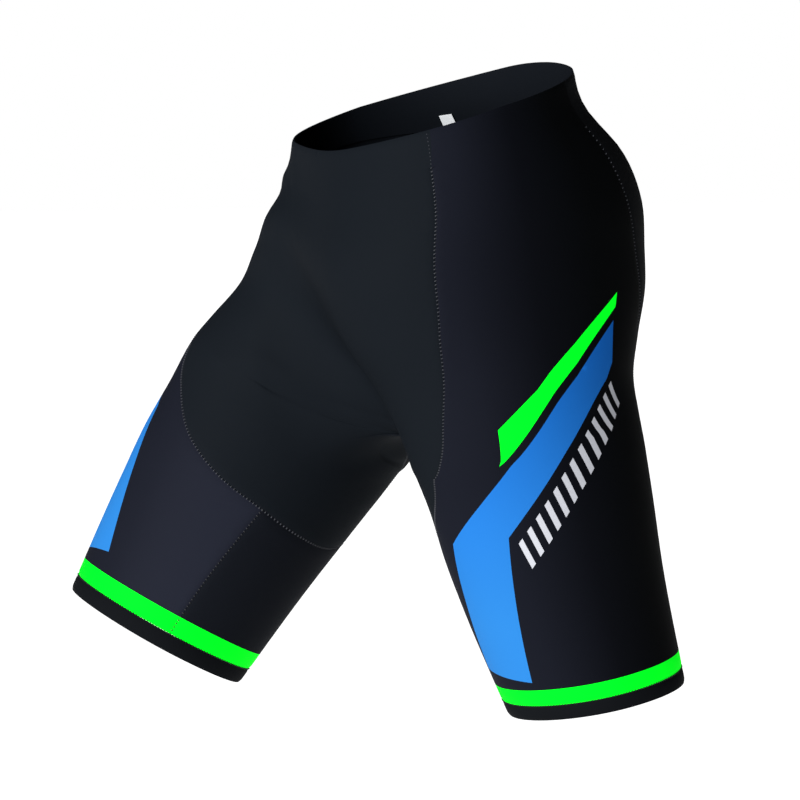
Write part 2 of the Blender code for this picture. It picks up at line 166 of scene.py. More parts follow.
# %% [markdown]
# ## The stride
# The wearer's right leg swings forward and the left one back, each about its own hip.
# Cloth near the hip shares the bend, so the tube stays smooth. Every place on the
# garment is then named by two numbers: how far around it lies, from 0 at front centre
# to 1 at back centre, and how many millimetres down from the waist edge.

# %% Swing the legs
Leg = namedtuple("Leg", "side swing spread hip_depth girth reach hem_lean")
LEFT_LEG = Leg(side=1, swing=-16.0, spread=4.6, hip_depth=165, girth=0.97, reach=1.0, hem_lean=6.0)
RIGHT_LEG = Leg(side=-1, swing=31.0, spread=7.6, hip_depth=126, girth=1.09, reach=1.05, hem_lean=-2.0)
HIP_WIDTH = 88.0  # from the middle of the body to each hip
HIP_BACK = 12.0  # how far the hips lie behind the middle
BEND_REACH = 135.0  # how far above and below the hip the cloth shares its bend
CENTRE_BLEND, LEG_BLEND = 60.0, 8.0  # width shared by both legs' strides, above and below
BLEND_START, BLEND_RUN = 200.0, 140.0  # where that width narrows, measured down from the waist


def leg_move(points, leg):
    """How far each point moves as one leg swings, spreads and fills its tube."""
    depth = -points[:, 2]
    bend = smooth_step((depth - leg.hip_depth) / (2 * BEND_REACH) + 0.5)[:, None]
    fill = 1 + (np.array([leg.girth, leg.girth, leg.reach]) - 1) * bend
    hip = np.array([leg.side * HIP_WIDTH, HIP_BACK, -leg.hip_depth])
    swing, spread = math.radians(leg.swing), math.radians(leg.spread) * leg.side
    x, y, z = ((points - hip) * fill).T
    below = smooth_step((depth - CROTCH_DEPTH) / (SIDE_LENGTH - CROTCH_DEPTH))
    z = z - below * math.tan(math.radians(leg.hem_lean)) * (y + HIP_BACK)
    x, z = x * math.cos(spread) - z * math.sin(spread), x * math.sin(spread) + z * math.cos(spread)
    y, z = y * math.cos(swing) + z * math.sin(swing), z * math.cos(swing) - y * math.sin(swing)
    return bend * (np.stack([x, y, z], axis=-1) + hip - points)


def stride(points):
    """Moves standing points into the stride, each leg turning about its own hip."""
    narrowing = smooth_step((-points[:, 2] - BLEND_START) / BLEND_RUN)
    width = CENTRE_BLEND + (LEG_BLEND - CENTRE_BLEND) * narrowing
    left = smooth_step((points[:, 0] / width + 1) / 2)[:, None]
    return points + left * leg_move(points, LEFT_LEG) + (1 - left) * leg_move(points, RIGHT_LEG)


def smooth_cloth(side, around, down):
    """Points of the garment's outer surface, in metres, before any creases."""
    side, around, down = (np.asarray(v, float) for v in np.broadcast_arrays(side, around, down))
    torso = down < CROTCH_DEPTH
    crossed = torso & ((around < 0) | (around > 1))
    around = np.where(torso & (around < 0), -around, around)
    around = np.where(torso & (around > 1), 2 - around, around)
    points = neutral_point(around, down).reshape(-1, 3)
    points[:, 0] *= np.where(crossed, -side, side).ravel()
    return stride(points) * MM


def outward(side, around, down):
    """The way the cloth faces at each point, from its slopes round and down the garment."""
    turn, drop = 0.004, 1.5  # small steps around and down
    round_it = smooth_cloth(side, around + turn, down) - smooth_cloth(side, around - turn, down)
    down_it = smooth_cloth(side, around, down + drop) - smooth_cloth(side, around, down - drop)
    facing = np.cross(down_it, round_it) * np.reshape(side, (-1, 1))
    return facing / np.linalg.norm(facing, axis=1, keepdims=True)


hip_round = smooth_cloth(1, np.linspace(0, 1, 91), np.full(91, 130.0))
print("round the hips, cm:", round(200 * np.linalg.norm(np.diff(hip_round, axis=0), axis=1).sum(), 1))

# %% [markdown]
# ## Creases
# Close-fitting knit still folds a little where it's pulled: short folds fan out from the
# crotch over the groin, and the casing draws the cloth into small puckers. Each fold is
# one line in a table, with its two ends, how high it stands and how wide it is. A minus
# height is a trough. The hidden side gets similar ones, not the same ones.

# %% Place the creases
Crease = namedtuple("Crease", "side around_a down_a around_b down_b height width")
CREASES = [
    Crease(1, 0.0, 150, 0.0, 262, -2.6, 14),
    Crease(-1, 0.02, 215, 0.09, 262, -1.0, 9),
    Crease(-1, 0.07, 205, 0.17, 268, 0.9, 12),
    Crease(-1, 0.04, 176, 0.12, 196, -0.4, 14),
    Crease(1, 0.02, 210, 0.10, 268, -1.0, 9),
    Crease(1, 0.07, 196, 0.18, 252, 0.7, 12),
    Crease(1, 0.05, 165, 0.17, 190, -0.5, 13),
    Crease(-1, 0.205, 31, 0.212, 36, 2.4, 8),
    Crease(-1, 0.142, 30, 0.045, 68, -0.6, 5),
    Crease(-1, 0.11, 60, 0.10, 96, 0.5, 8),
    Crease(1, 0.62, 34, 0.64, 74, -0.5, 9),
    Crease(-1, 0.55, 34, 0.57, 66, 0.5, 8),
    Crease(1, 0.80, 240, 0.93, 262, -1.1, 11),
    Crease(-1, 0.78, 232, 0.92, 256, -1.0, 12),
    Crease(1, 0.76, 262, 0.88, 300, 0.8, 12),
    Crease(-1, 0.80, 270, 0.90, 312, -0.8, 11),
]


def crease_height(side, around, down):
    """How far creases push the cloth out at each place, in millimetres."""
    total = np.zeros(len(around))
    for crease in CREASES:
        a = np.array([crease.around_a * PANEL_WIDTH, crease.down_a])
        run = np.array([crease.around_b * PANEL_WIDTH, crease.down_b]) - a
        same = side == crease.side
        other = np.where(around > 0.5, 2 - around, -around)
        places = np.stack([np.where(same, around, other) * PANEL_WIDTH, down], axis=1) - a
        along = places @ run / (run @ run)
        away = np.linalg.norm(places - np.clip(along, 0, 1)[:, None] * run, axis=1)
        total += crease.height * np.exp(-((away / crease.width) ** 2))
    return total


def cloth_point(side, around, down):
    """Points of the outer surface with its creases, and the way each one faces."""
    facing = outward(side, around, down)
    lift = crease_height(side, around, down)
    return smooth_cloth(side, around, down) + facing * lift[:, None] * MM, facing


print("creases:", len(CREASES))

# %% [markdown]
# ## The pattern
# A cutter lays the panels out flat and sews them edge to edge. Here the flat plane is
# around and down, and each seam is a short list of places on it. One front piece runs
# from the waist over the crotch to the inside of both thighs. Each side has an outer
# panel, a back panel and an inner leg panel.

# %% Seams
Seam = namedtuple("Seam", "around down")
KNEE_POINT = Seam(0.010, 362)  # where front, side and inner leg panels meet
SEAT_POINT = Seam(-0.20, 351)  # where front, back and inner leg panels meet
SEAT_JOIN = 190.0  # where the front panel ends at the back centre seam
FRONT_SEAM = [
    Seam(0.333, WAISTBAND),
    Seam(0.349, 70),
    Seam(0.354, 120),
    Seam(0.340, 160),
    Seam(0.310, 207),
    Seam(0.293, 247),
    Seam(0.268, 285),
    Seam(0.218, 314),
    Seam(0.158, 340),
    Seam(0.086, 356),
    KNEE_POINT,
]
UNDER_THIGH_SEAM = [KNEE_POINT, Seam(-0.05, 365), Seam(-0.12, 363), SEAT_POINT]
SEAT_SEAM = [
    SEAT_POINT,
    Seam(-0.21, 318),
    Seam(-0.19, 280),
    Seam(-0.13, 238),
    Seam(-0.06, 206),
    Seam(0, SEAT_JOIN),
]
LEG_SEAM = [KNEE_POINT, Seam(0.018, 392), Seam(0.028, 430), Seam(0.034, HEM_SEAM)]
INSEAM = [SEAT_POINT, Seam(-0.20, HEM_SEAM)]
BACK_SEAM = [
    Seam(0.68, WAISTBAND),
    Seam(0.70, 90),
    Seam(0.715, 180),
    Seam(0.72, 268),
    Seam(0.72, HEM_SEAM),
]
EDGE_STEP = 5.0  # spacing of points along a cut edge
SPLINE_STEPS = 24  # points drawn between two seam controls


def spaced(points, step=EDGE_STEP):
    """Evenly spaced points along a line."""
    run = np.concatenate([[0], np.cumsum(np.linalg.norm(np.diff(points, axis=0), axis=1))])
    along = np.linspace(0, run[-1], max(2, int(round(run[-1] / step)) + 1))
    return np.stack([np.interp(along, run, points[:, k]) for k in range(points.shape[1])], axis=1)


def seam_curve(controls, step=EDGE_STEP):
    """Evenly spaced points on a smooth curve through a seam's controls, in panel millimetres."""
    ends = np.array([[c.around * PANEL_WIDTH, c.down] for c in controls], float)
    if len(ends) > 2:
        knots = np.vstack([2 * ends[0] - ends[1], ends, 2 * ends[-1] - ends[-2]])
        t = np.linspace(0, 1, SPLINE_STEPS, endpoint=False)[:, None]
        pieces = []
        for a, b, c, d in zip(knots, knots[1:], knots[2:], knots[3:]):
            square, cube = 2 * a - 5 * b + 4 * c - d, 3 * (b - c) + d - a
            pieces.append(b + t / 2 * (c - a + t * (square + t * cube)))
        ends = np.vstack(pieces + [ends[-1:]])
    return spaced(ends, step)


def straight(start, end):
    """Evenly spaced points on a straight cut."""
    return seam_curve([Seam(*start), Seam(*end)])


def back_view(curve):
    """The same run of cloth, counted on past the back centre instead of behind the thigh."""
    return curve + [PANEL_WIDTH, 0]


print("front seam, mm of pattern:", round(EDGE_STEP * len(seam_curve(FRONT_SEAM))))

# %% [markdown]
# ## The print
# The flashes are printed into the knit before it's cut, so they lie flat and stretch with
# the cloth. On each outer thigh a green wedge points up and back, a blue band bends at the
# elbow and runs down to the hem, and a row of plain slanted bars follows the band. A green
# stripe goes all round each leg above the elastic. The shapes are outlines on the panel
# plane, and the cloth's own edges follow them, which keeps them crisp.

# %% Outlines of the print
WEDGE = [
    (0.634, 150),
    (0.627, 163),
    (0.542, 207),
    (0.400, 268),
    (0.399, 239),
    (0.472, 219),
    (0.543, 191),
]
BAND = [
    (0.620, 175),
    (0.611, 212),
    (0.596, 225),
    (0.381, 326),
    (0.356, 390),
    (0.333, 448),
    (0.205, 440),
    (0.240, 385),
    (0.271, 329),
    (0.395, 279),
    (0.540, 217),
]
BAR_COUNT = 13
BAR_START, BAR_END = (0.402, 341), (0.606, 241)  # middles of the lowest and the highest bar
BAR_WIDTH, BAR_HEIGHT, BAR_SLANT = 5.2, 19.0, 6.0  # in millimetres
STRIPE_PAST = 5  # the print runs on past the hem seam and is cut off there
SIDE_STRIPE = (-10, 400)  # each stripe also starts and ends outside its panel
BACK_STRIPE = (330, 430)
INNER_STRIPE = (-130, 40)
BLACK, BLUE, GREEN, GREY = range(4)


def slanted_bars():
    """Plain grey bars in a row beside the blue band."""
    start, end = (np.array([a * PANEL_WIDTH, d]) for a, d in (BAR_START, BAR_END))
    along = (end - start) / np.linalg.norm(end - start)
    up = np.array([along[1], -along[0]])
    bars = []
    for k in range(BAR_COUNT):
        foot = start + (end - start) * k / (BAR_COUNT - 1)
        side, rise = along * BAR_WIDTH / 2, up * BAR_HEIGHT / 2 + along * BAR_SLANT
        low, high = foot - rise, foot + rise
        bars.append(np.array([low - side, low + side, high + side, high - side]))
    return bars


def stripe(start, end):
    """The part of the green hem stripe that lies on one panel."""
    bottom = HEM_SEAM + STRIPE_PAST
    return np.array([(start, STRIPE_TOP), (end, STRIPE_TOP), (end, bottom), (start, bottom)])


def in_panel_mm(shape):
    """Corners given as around and down, in millimetres of the panel plane."""
    return np.array([[a * PANEL_WIDTH, d] for a, d in shape])


SIDE_PRINT = [(BLUE, in_panel_mm(BAND)), (GREEN, in_panel_mm(WEDGE))]
SIDE_PRINT += [(GREY, bar) for bar in slanted_bars()]
print("printed shapes on each side panel:", len(SIDE_PRINT))

# %% [markdown]
# ## Finishes
# The ground of the cloth is a fine warp knit, close to black and matt. Front, back and
# inner leg panels each have their own plain black. The outer panel's black is a ramp of a
# few colours along the panel that paints sheen and shade: lighter and bluer in front, where
# the light falls, and near black towards the back. The blue ink is a ramp too, darker towards
# its top at the back of the panel, and that darkening is painted shade. Ink changes only the
# colour, so blue, green and grey share the knit's surface. The green is fluorescent ink, and
# it has a painted glow as well, so it stays bright where it lies in shade.

# %% Mix the cloth finishes
WALE = 0.55  # spacing of the knit's fine ribs, in millimetres
WAVES_PER_UNIT = 3.18  # ribs that the wave texture draws in one unit at scale 1
RIB_WANDER = 0.4  # how unevenly the ribs run
RIB_STRENGTH = 0.35
RIB_DEPTH = 0.05 * MM
KNIT_ROUGHNESS, KNIT_SPECULAR = 0.7, 0.02


def plain_finish(name, colour, roughness, specular):
    """One even colour; gives the material and its shader."""
    material = bpy.data.materials.new(name)
    material.use_nodes = True
    shader = material.node_tree.nodes["Principled BSDF"]
    shader.inputs["Base Color"].default_value = (*colour, 1)
    shader.inputs["Roughness"].default_value = roughness
    shader.inputs["Specular IOR Level"].default_value = specular
    return material, shader


def knit_finish(name, colour, roughness=KNIT_ROUGHNESS, specular=KNIT_SPECULAR, painted_glow=0.0):
    """Fine ribbed knit: plain colour over a bump of narrow ribs that run down the panel."""
    material, shader = plain_finish(name, colour, roughness, specular)
    nodes, links = material.node_tree.nodes, material.node_tree.links
    # A painted glow: the colour is also given out as light, as from a lamp.
    shader.inputs["Emission Color"].default_value = (*colour, 1)
    shader.inputs["Emission Strength"].default_value = painted_glow
    place = nodes.new("ShaderNodeUVMap")
    ribs = nodes.new("ShaderNodeTexWave")
    ribs.bands_direction = "X"
    ribs.inputs["Scale"].default_value = 1 / (WALE * WAVES_PER_UNIT)
    ribs.inputs["Distortion"].default_value = RIB_WANDER
    bump = nodes.new("ShaderNodeBump")
    bump.inputs["Strength"].default_value = RIB_STRENGTH
    bump.inputs["Distance"].default_value = RIB_DEPTH
    links.new(place.outputs["UV"], ribs.inputs["Vector"])
    links.new(ribs.outputs["Fac"], bump.inputs["Height"])
    links.new(bump.outputs["Normal"], shader.inputs["Normal"])
    return material


def shade_ramp_finish(name, axis, stops, **surface):
    """Knit whose colour changes along the panel in a ramp that paints shade: stops are (millimetres,
    colour) pairs.
    """
    material = knit_finish(name, stops[0][1], **surface)
    nodes, links = material.node_tree.nodes, material.node_tree.links
    first, last = stops[0][0], stops[-1][0]
    place = nodes.new("ShaderNodeUVMap")
    parts = nodes.new("ShaderNodeSeparateXYZ")
    share = nodes.new("ShaderNodeMapRange")
    share.inputs["From Min"].default_value = first
    share.inputs["From Max"].default_value = last
    ramp = nodes.new("ShaderNodeValToRGB")
    steps = ramp.color_ramp.elements
    while len(steps) < len(stops):
        steps.new(0.5)
    for step, (reach, colour) in zip(steps, stops):
        step.position = (reach - first) / (last - first)
        step.color = (*colour, 1)
    links.new(place.outputs["UV"], parts.inputs["Vector"])
    links.new(parts.outputs[axis], share.inputs["Value"])
    links.new(share.outputs["Result"], ramp.inputs["Fac"])
    links.new(ramp.outputs["Color"], nodes["Principled BSDF"].inputs["Base Color"])
    return material


FRONT_BLACK = knit_finish("knit_front", (0.0052, 0.0068, 0.0092))
# Painted sheen and shade: the outer panel's black is lighter and bluer in front, where the light falls,
# and near black at the back.
SHADED_SIDE_BLACK = shade_ramp_finish(
    "knit_side_painted_shade",
    "X",
    [
        (20, (0.0120, 0.0136, 0.0220)),
        (90, (0.0072, 0.0082, 0.0135)),
        (190, (0.0052, 0.0060, 0.0100)),
        (250, (0.0024, 0.0028, 0.0044)),
        (300, (0.0014, 0.0018, 0.0022)),
        (360, (0.0014, 0.0018, 0.0020)),
    ],
)
BACK_BLACK = knit_finish("knit_back", (0.0040, 0.0046, 0.0054))
INNER_BLACK = knit_finish("knit_inner_leg", (0.0052, 0.0062, 0.0090))
LINING = knit_finish("knit_inside", (0.0050, 0.0062, 0.0085), roughness=0.85)
# Painted shade: the blue print is darker towards the band's top, at the back of the panel.
SHADED_BLUE_INK = shade_ramp_finish("print_blue_painted_shade", "Y", [(180, (0.005, 0.095, 0.40)), (400, (0.018, 0.15, 0.43))])
# Painted glow: the green print gives out light of its own, so it stays bright in shade.
GLOWING_GREEN_INK = knit_finish("print_green_painted_glow", (0.0, 0.80, 0.012), painted_glow=0.6)
GREY_INK = knit_finish("print_grey", (0.42, 0.43, 0.47))
print("finishes:", len(bpy.data.materials))

# %% [markdown]
# ## Cutting a panel
# Each panel is filled with small triangles that follow its cut edge and the print. At a
# seam both edges roll in a little, which leaves the fine groove that a sewn seam shows,
# so rows of points lie close beside each edge. The flat places are kept as the cloth's
# texture coordinates, in millimetres, so ribs and print stay with the knit.

# %% Fill a panel with triangles
CLOTH_STEP = 6.0  # spacing of points over a panel
PRINT_STEP = 3.5  # spacing along the edge of a printed shape
CROTCH_STEP = 4.5  # spacing where the cloth turns under between the legs
TIGHT_WIDTH, TIGHT_ABOVE, TIGHT_BELOW = 75.0, 110.0, 40.0  # how far that tight part reaches
ROW_PITCH = 0.9  # rows stand this much closer than the points in them
ROLL_ROWS = (1.2, 2.8)  # rows of points beside each cut edge
ROW_CLEAR, GRID_CLEAR = 0.75, 1.5  # how near an edge those rows and the grid may come
NEARLY_STRAIGHT = 0.05  # corners that turn less than this are moved straight in
MERGE = 1e-6
NO_EDGE = 99.0  # stands for the distance to a kind of edge that a patch doesn't have
SEWN, FOLDED, JOINED = "sewn", "folded", "joined"
Edge = namedtuple("Edge", "line kind")


def outline(*edges):
    """Joins cut edges into one closed outline, with the kind of each stretch of it."""
    points = np.vstack([edge.line[:-1] for edge in edges])
    kinds = np.concatenate([np.full(len(edge.line) - 1, edge.kind) for edge in edges])
    return points, kinds


def stretch(points, way):
    """Millimetres of cloth for each millimetre moved in the panel plane, the halves' average."""
    reach = 0.5
    total = 0
    for side in (1, -1):
        ends = [points + sign * reach * way for sign in (1, -1)]
        ends = [smooth_cloth(side, end[:, 0] / PANEL_WIDTH, end[:, 1]) for end in ends]
        total = total + np.linalg.norm(ends[0] - ends[1], axis=1) / (2 * reach * MM)
    return total / 2


def trimmed(points, clearances):
    """The outline moved in by each edge's clearance, in millimetres of cloth."""
    along = np.roll(points, -1, axis=0) - points
    along /= np.linalg.norm(along, axis=1, keepdims=True)
    before_along = np.roll(along, 1, axis=0)
    turning = np.sum(before_along[:, 0] * along[:, 1] - before_along[:, 1] * along[:, 0])
    inward = np.stack([-along[:, 1], along[:, 0]], axis=1) * np.sign(turning)
    shift = clearances / stretch(points, inward)
    moved = []
    for k, point in enumerate(points):
        n0, n1 = inward[k - 1], inward[k]
        if abs(n0[0] * n1[1] - n0[1] * n1[0]) < NEARLY_STRAIGHT:
            moved.append(point + (n0 * shift[k - 1] + n1 * shift[k]) / 2)
        else:
            moved.append(point + np.linalg.solve(np.array([n0, n1]), [shift[k - 1], shift[k]]))
    return np.array(moved)


def near_crotch(points):
    """True where points in the panel plane lie in the tight curves between the legs."""
    along = np.abs(points[..., 0] - PANEL_WIDTH * np.round(points[..., 0] / PANEL_WIDTH))
    below = points[..., 1] - CROTCH_DEPTH
    return (along < TIGHT_WIDTH) & (below > -TIGHT_ABOVE) & (below < TIGHT_BELOW)


def staggered(low, high, step):
    """A grid of points whose every second row is shifted by half a step."""
    rows = np.arange(low[1], high[1], step * ROW_PITCH)
    columns = np.arange(low[0], high[0], step)
    return np.array([(x + (k % 2) * step / 2, y) for k, y in enumerate(rows) for x in columns])


def distance_to(points, start, end):
    """Each point's distance to the nearest of the lines from start to end."""
    nearest = np.full(len(points), np.inf)
    for a, run in zip(start, end - start):
        t = np.clip((points - a) @ run / (run @ run), 0, 1)
        nearest = np.minimum(nearest, np.linalg.norm(points - a - t[:, None] * run, axis=1))
    return nearest


def inside(points, edge):
    """True for points within a closed outline."""
    within = np.zeros(len(points), bool)
    for a, b in zip(edge, np.roll(edge, -1, axis=0)):
        if a[1] != b[1]:
            level = (a[1] > points[:, 1]) != (b[1] > points[:, 1])
            meets = a[0] + (points[:, 1] - a[1]) / (b[1] - a[1]) * (b[0] - a[0])
            within ^= level & (points[:, 0] < meets)
    return within


def filling(edge):
    """Points inside an outline: rows beside its edge, then a staggered grid."""
    low, high = edge.min(axis=0), edge.max(axis=0)
    wide, tight = staggered(low, high, CLOTH_STEP), staggered(low, high, CROTCH_STEP)
    grid = np.vstack([wide[~near_crotch(wide)], tight[near_crotch(tight)]])
    far_end = np.roll(edge, -1, axis=0)
    away = distance_to(grid, edge, far_end)
    chosen = [grid[inside(grid, edge) & (away > ROLL_ROWS[-1] + GRID_CLEAR)]]
    for row in ROLL_ROWS:
        line = trimmed(edge, np.full(len(edge), row))
        away = distance_to(line, edge, far_end)
        chosen.append(line[inside(line, edge) & (away > row * ROW_CLEAR)])
    return np.vstack(chosen)


Patch = namedtuple("Patch", "side flat triangles inks sewn_away fold_away")


def cut_patch(side, edge, prints=()):
    """Fills one outline with triangles and marks the ones under each printed shape."""
    points, kinds = edge
    clearance = np.where(kinds == SEWN, SEAM_GAP / 2, 0.0)
    rim = trimmed(points, clearance)
    flat = [Vector(p) for p in np.vstack([rim, filling(rim)])]
    faces = [list(range(len(rim)))]
    for _, shape in prints:
        sides = zip(shape, np.roll(shape, -1, axis=0))
        shape = np.vstack([spaced(np.array(ends), PRINT_STEP)[:-1] for ends in sides])
        faces.append([len(flat) + k for k in range(len(shape))])
        flat += [Vector(p) for p in shape]
    lines = [(a, b) for face in faces for a, b in zip(face, face[1:] + face[:1])]
    found, _, cut, *_ = delaunay_2d_cdt(flat, lines, [], 0, MERGE)
    found, cut = np.array([tuple(p) for p in found]), np.array(cut)
    middles = found[cut].mean(axis=1)
    kept = inside(middles, rim)
    cut, middles = cut[kept], middles[kept]
    inks = np.full(len(cut), BLACK)
    for ink, shape in prints:
        inks[inside(middles, shape)] = ink
    run, rise = found[cut[:, 1]] - found[cut[:, 0]], found[cut[:, 2]] - found[cut[:, 0]]
    wrong = (run[:, 0] * rise[:, 1] - run[:, 1] * rise[:, 0] > 0) != (side < 0)
    cut[wrong] = cut[wrong][:, ::-1]
    triangles, inks = [tuple(t) for t in cut.tolist()], inks.tolist()
    far_end = np.roll(rim, -1, axis=0)
    away = []
    for kind in (SEWN, FOLDED):
        chosen = kinds == kind
        if chosen.any():
            away.append(distance_to(found, rim[chosen], far_end[chosen]))
        else:
            away.append(np.full(len(found), NO_EDGE))
    return Patch(side, found, triangles, inks, *away)


print("rows beside each cut edge, mm:", ROLL_ROWS)

# %% [markdown]
# ## Wrapping and sewing
# The flat triangles of one piece are joined where its patches meet, wrapped on the form
# and moved in near each sewn or folded edge. A second, inner copy of them and a strip
# round the edge close the wall, so each piece is solid cloth.

# %% Wrap and thicken
SEAM_ROLL = 0.75  # how deep a sewn edge rolls in
FOLD_ROLL = 0.9  # how round a folded edge is
ROLL_WIDTH = 1.5
CLOTH = 1.4  # wall of the dressed cloth
ELASTIC = 2.2  # wall of the casing and the leg grippers
WELD = 0.03  # points nearer than this are one point
CREASE_ANGLE = 60.0  # sharper edges than this stay crisp, in degrees


def welded(points):
    """For each point, the first point that lies in the same place."""
    tree = KDTree(len(points))
    for k, point in enumerate(points):
        tree.insert(point, k)
    tree.balance()
    return [min(hit[1] for hit in tree.find_range(point, WELD * MM)) for point in points]


def sew(name, patches, thickness, finishes, grounds=None, inset=0.0):
    """Makes one sewn piece: patches joined, wrapped on the form and thickened inwards.

    finishes are the piece's materials in ink order, then the one for its inside.
    grounds gives, for each patch, which finish plain cloth takes.
    """
    grounds = grounds or [BLACK] * len(patches)
    sides = np.concatenate([np.full(len(p.flat), p.side) for p in patches])
    flat = np.vstack([p.flat for p in patches])
    sewn = np.concatenate([p.sewn_away for p in patches])
    fold = np.concatenate([p.fold_away for p in patches])
    triangles, inks, start = [], [], 0
    for patch, ground in zip(patches, grounds):
        triangles += [tuple(start + k for k in t) for t in patch.triangles]
        inks += [ground if ink == BLACK else ink for ink in patch.inks]
        start += len(patch.flat)
    points, facing = cloth_point(sides, flat[:, 0] / PANEL_WIDTH, flat[:, 1])
    first = welded(points)
    shared = np.zeros_like(facing)
    np.add.at(shared, first, facing)
    facing = shared[first] / np.linalg.norm(shared[first], axis=1, keepdims=True)
    kept = sorted(set(first))
    number = {old: new for new, old in enumerate(kept)}
    triangles = [tuple(number[first[k]] for k in t) for t in triangles]
    roll = SEAM_ROLL * np.exp(-((sewn / ROLL_WIDTH) ** 2))
    roll = roll + FOLD_ROLL * np.exp(-((fold / ROLL_WIDTH) ** 2))
    outer = points[kept] - facing[kept] * (inset + roll[kept, None]) * MM
    inner = points[kept] - facing[kept] * (inset + thickness) * MM
    count = len(kept)
    used = {(a, b) for t in triangles for a, b in zip(t, t[1:] + t[:1])}
    rim = []
    for a, b in sorted(edge for edge in used if edge[::-1] not in used):
        if np.linalg.norm(outer[a] - inner[b]) < np.linalg.norm(outer[b] - inner[a]):
            rim += [(b, a, b + count), (a, a + count, b + count)]
        else:
            rim += [(b, a, a + count), (b, a + count, b + count)]
    back = [tuple(k + count for k in reversed(t)) for t in triangles]
    mesh = bpy.data.meshes.new(name)
    mesh.from_pydata(np.vstack([outer, inner]).tolist(), [], triangles + back + rim)
    for finish in finishes:
        mesh.materials.append(finish)
    lining = len(finishes) - 1
    mesh.polygons.foreach_set("material_index", inks + [lining] * (len(back) + len(rim)))
    places = np.vstack([flat[kept], flat[kept]])
    corners = np.zeros(len(mesh.loops), int)
    mesh.loops.foreach_get("vertex_index", corners)
    mesh.uv_layers.new(name="cut").data.foreach_set("uv", places[corners].ravel())
    mesh.shade_smooth()
    mesh.set_sharp_from_angle(angle=math.radians(CREASE_ANGLE))
    piece = bpy.data.objects.new(name, mesh)
    bpy.context.scene.collection.objects.link(piece)
    size = (flat.max(axis=0) - flat.min(axis=0)).round()
    area = sum(face.area for face in mesh.polygons[: len(triangles)])
    print(name, "pattern, mm:", size, "worn area, m2:", round(area, 4))
    return piece


print("walls of cloth and elastic, mm:", CLOTH, ELASTIC)

# %% [markdown]
# ## The flat cuts
# A table gives the size each piece's cloth had before it was sewn and stretched over the
# form. Left and right share a cut, and the forward leg stretches its own a little more.

# %% State the cuts
Cut = namedtuple("Cut", "width length area")  # the flat piece before sewing, in metres
FRONT_CUT = Cut(0.60, 0.45, 0.107)
SIDE_CUT = Cut(0.36, 0.46, 0.108)
BACK_CUT = Cut(0.175, 0.48, 0.047)
INNER_LEG_CUT = Cut(0.115, 0.125, 0.0135)
CASING_CUT = Cut(0.78, 0.040, 0.030)
GRIPPER_CUT = Cut(0.45, 0.013, 0.0057)


def dress(piece, node):
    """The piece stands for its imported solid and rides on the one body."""
    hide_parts(node)
    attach(piece, "root")
    corners = np.array([tuple(v.co) for v in piece.data.vertices])
    spread = (corners.max(axis=0) - corners.min(axis=0)) / MM
    print(node, "triangles:", len(piece.data.polygons), "box, mm:", spread.round(1))


PAIRS = (SIDE_CUT, BACK_CUT, INNER_LEG_CUT, GRIPPER_CUT)
SINGLES = (FRONT_CUT, CASING_CUT)
flat_area = sum(cut.area for cut in SINGLES) + 2 * sum(cut.area for cut in PAIRS)
print("flat cloth and elastic in all, m2:", round(flat_area, 3))

# %% [markdown]
# ## The front panel
# One piece covers the belly and runs under the crotch to the inside of both thighs, so
# that no seam lies where the rider sits. It's two mirrored halves joined down the middle,
# and each half continues behind the crotch to the seat.

# %% Front panel


def front_panel():
    """Two mirrored halves, each with its part in front of the crotch and behind it."""
    front, under, seat = seam_curve(FRONT_SEAM), seam_curve(UNDER_THIGH_SEAM), seam_curve(SEAT_SEAM)
    meet = np.argmin(np.abs(under[:, 0]))
    under[meet, 0] = 0
    inner_line = straight((0, under[meet, 1]), (0, CROTCH_DEPTH))
    centre_front = straight((0, CROTCH_DEPTH), (0, WAISTBAND))
    centre_back = straight((0, SEAT_JOIN), (0, CROTCH_DEPTH))
    top = straight((0, WAISTBAND), (FRONT_SEAM[0].around, WAISTBAND))
    fore = outline(
        Edge(top, JOINED),
        Edge(front, SEWN),
        Edge(under[: meet + 1], SEWN),
        Edge(inner_line, JOINED),
        Edge(centre_front, JOINED),
    )
    rear_points, rear_kinds = outline(
        Edge(under[meet:], SEWN),
        Edge(seat, SEWN),
        Edge(centre_back, JOINED),
        Edge(inner_line[::-1], JOINED),
    )
    patches = []
    for side in (1, -1):
        patches.append(cut_patch(side, fore))
        patches.append(cut_patch(side, (back_view(rear_points), rear_kinds)))
    return sew("front_panel_cloth", patches, CLOTH, [FRONT_BLACK, LINING])


dress(front_panel(), "front_panel")

# %% [markdown]
# ## Side, back and inner leg panels
# The outer panel carries the print from hip to hem. The back panel shapes the seat, and
# the inner leg panel is the plain piece between the legs. The left and right ones share a
# pattern, and the stride alone makes them look different.

# %% Leg panels
NAMED_SIDES = (("left", 1), ("right", -1))


def side_panel(name, side):
    """The printed outer panel, from the casing to the hem seam."""
    front, back, leg = seam_curve(FRONT_SEAM), seam_curve(BACK_SEAM), seam_curve(LEG_SEAM)
    top = straight((FRONT_SEAM[0].around, WAISTBAND), (BACK_SEAM[0].around, WAISTBAND))
    hem = straight((BACK_SEAM[-1].around, HEM_SEAM), (LEG_SEAM[-1].around, HEM_SEAM))
    edge = outline(
        Edge(top, JOINED),
        Edge(back, SEWN),
        Edge(hem, SEWN),
        Edge(leg[::-1], SEWN),
        Edge(front[::-1], SEWN),
    )
    prints = SIDE_PRINT + [(GREEN, stripe(*SIDE_STRIPE))]
    patch = cut_patch(side, edge, prints)
    return sew(name, [patch], CLOTH, [SHADED_SIDE_BLACK, SHADED_BLUE_INK, GLOWING_GREEN_INK, GREY_INK, LINING])


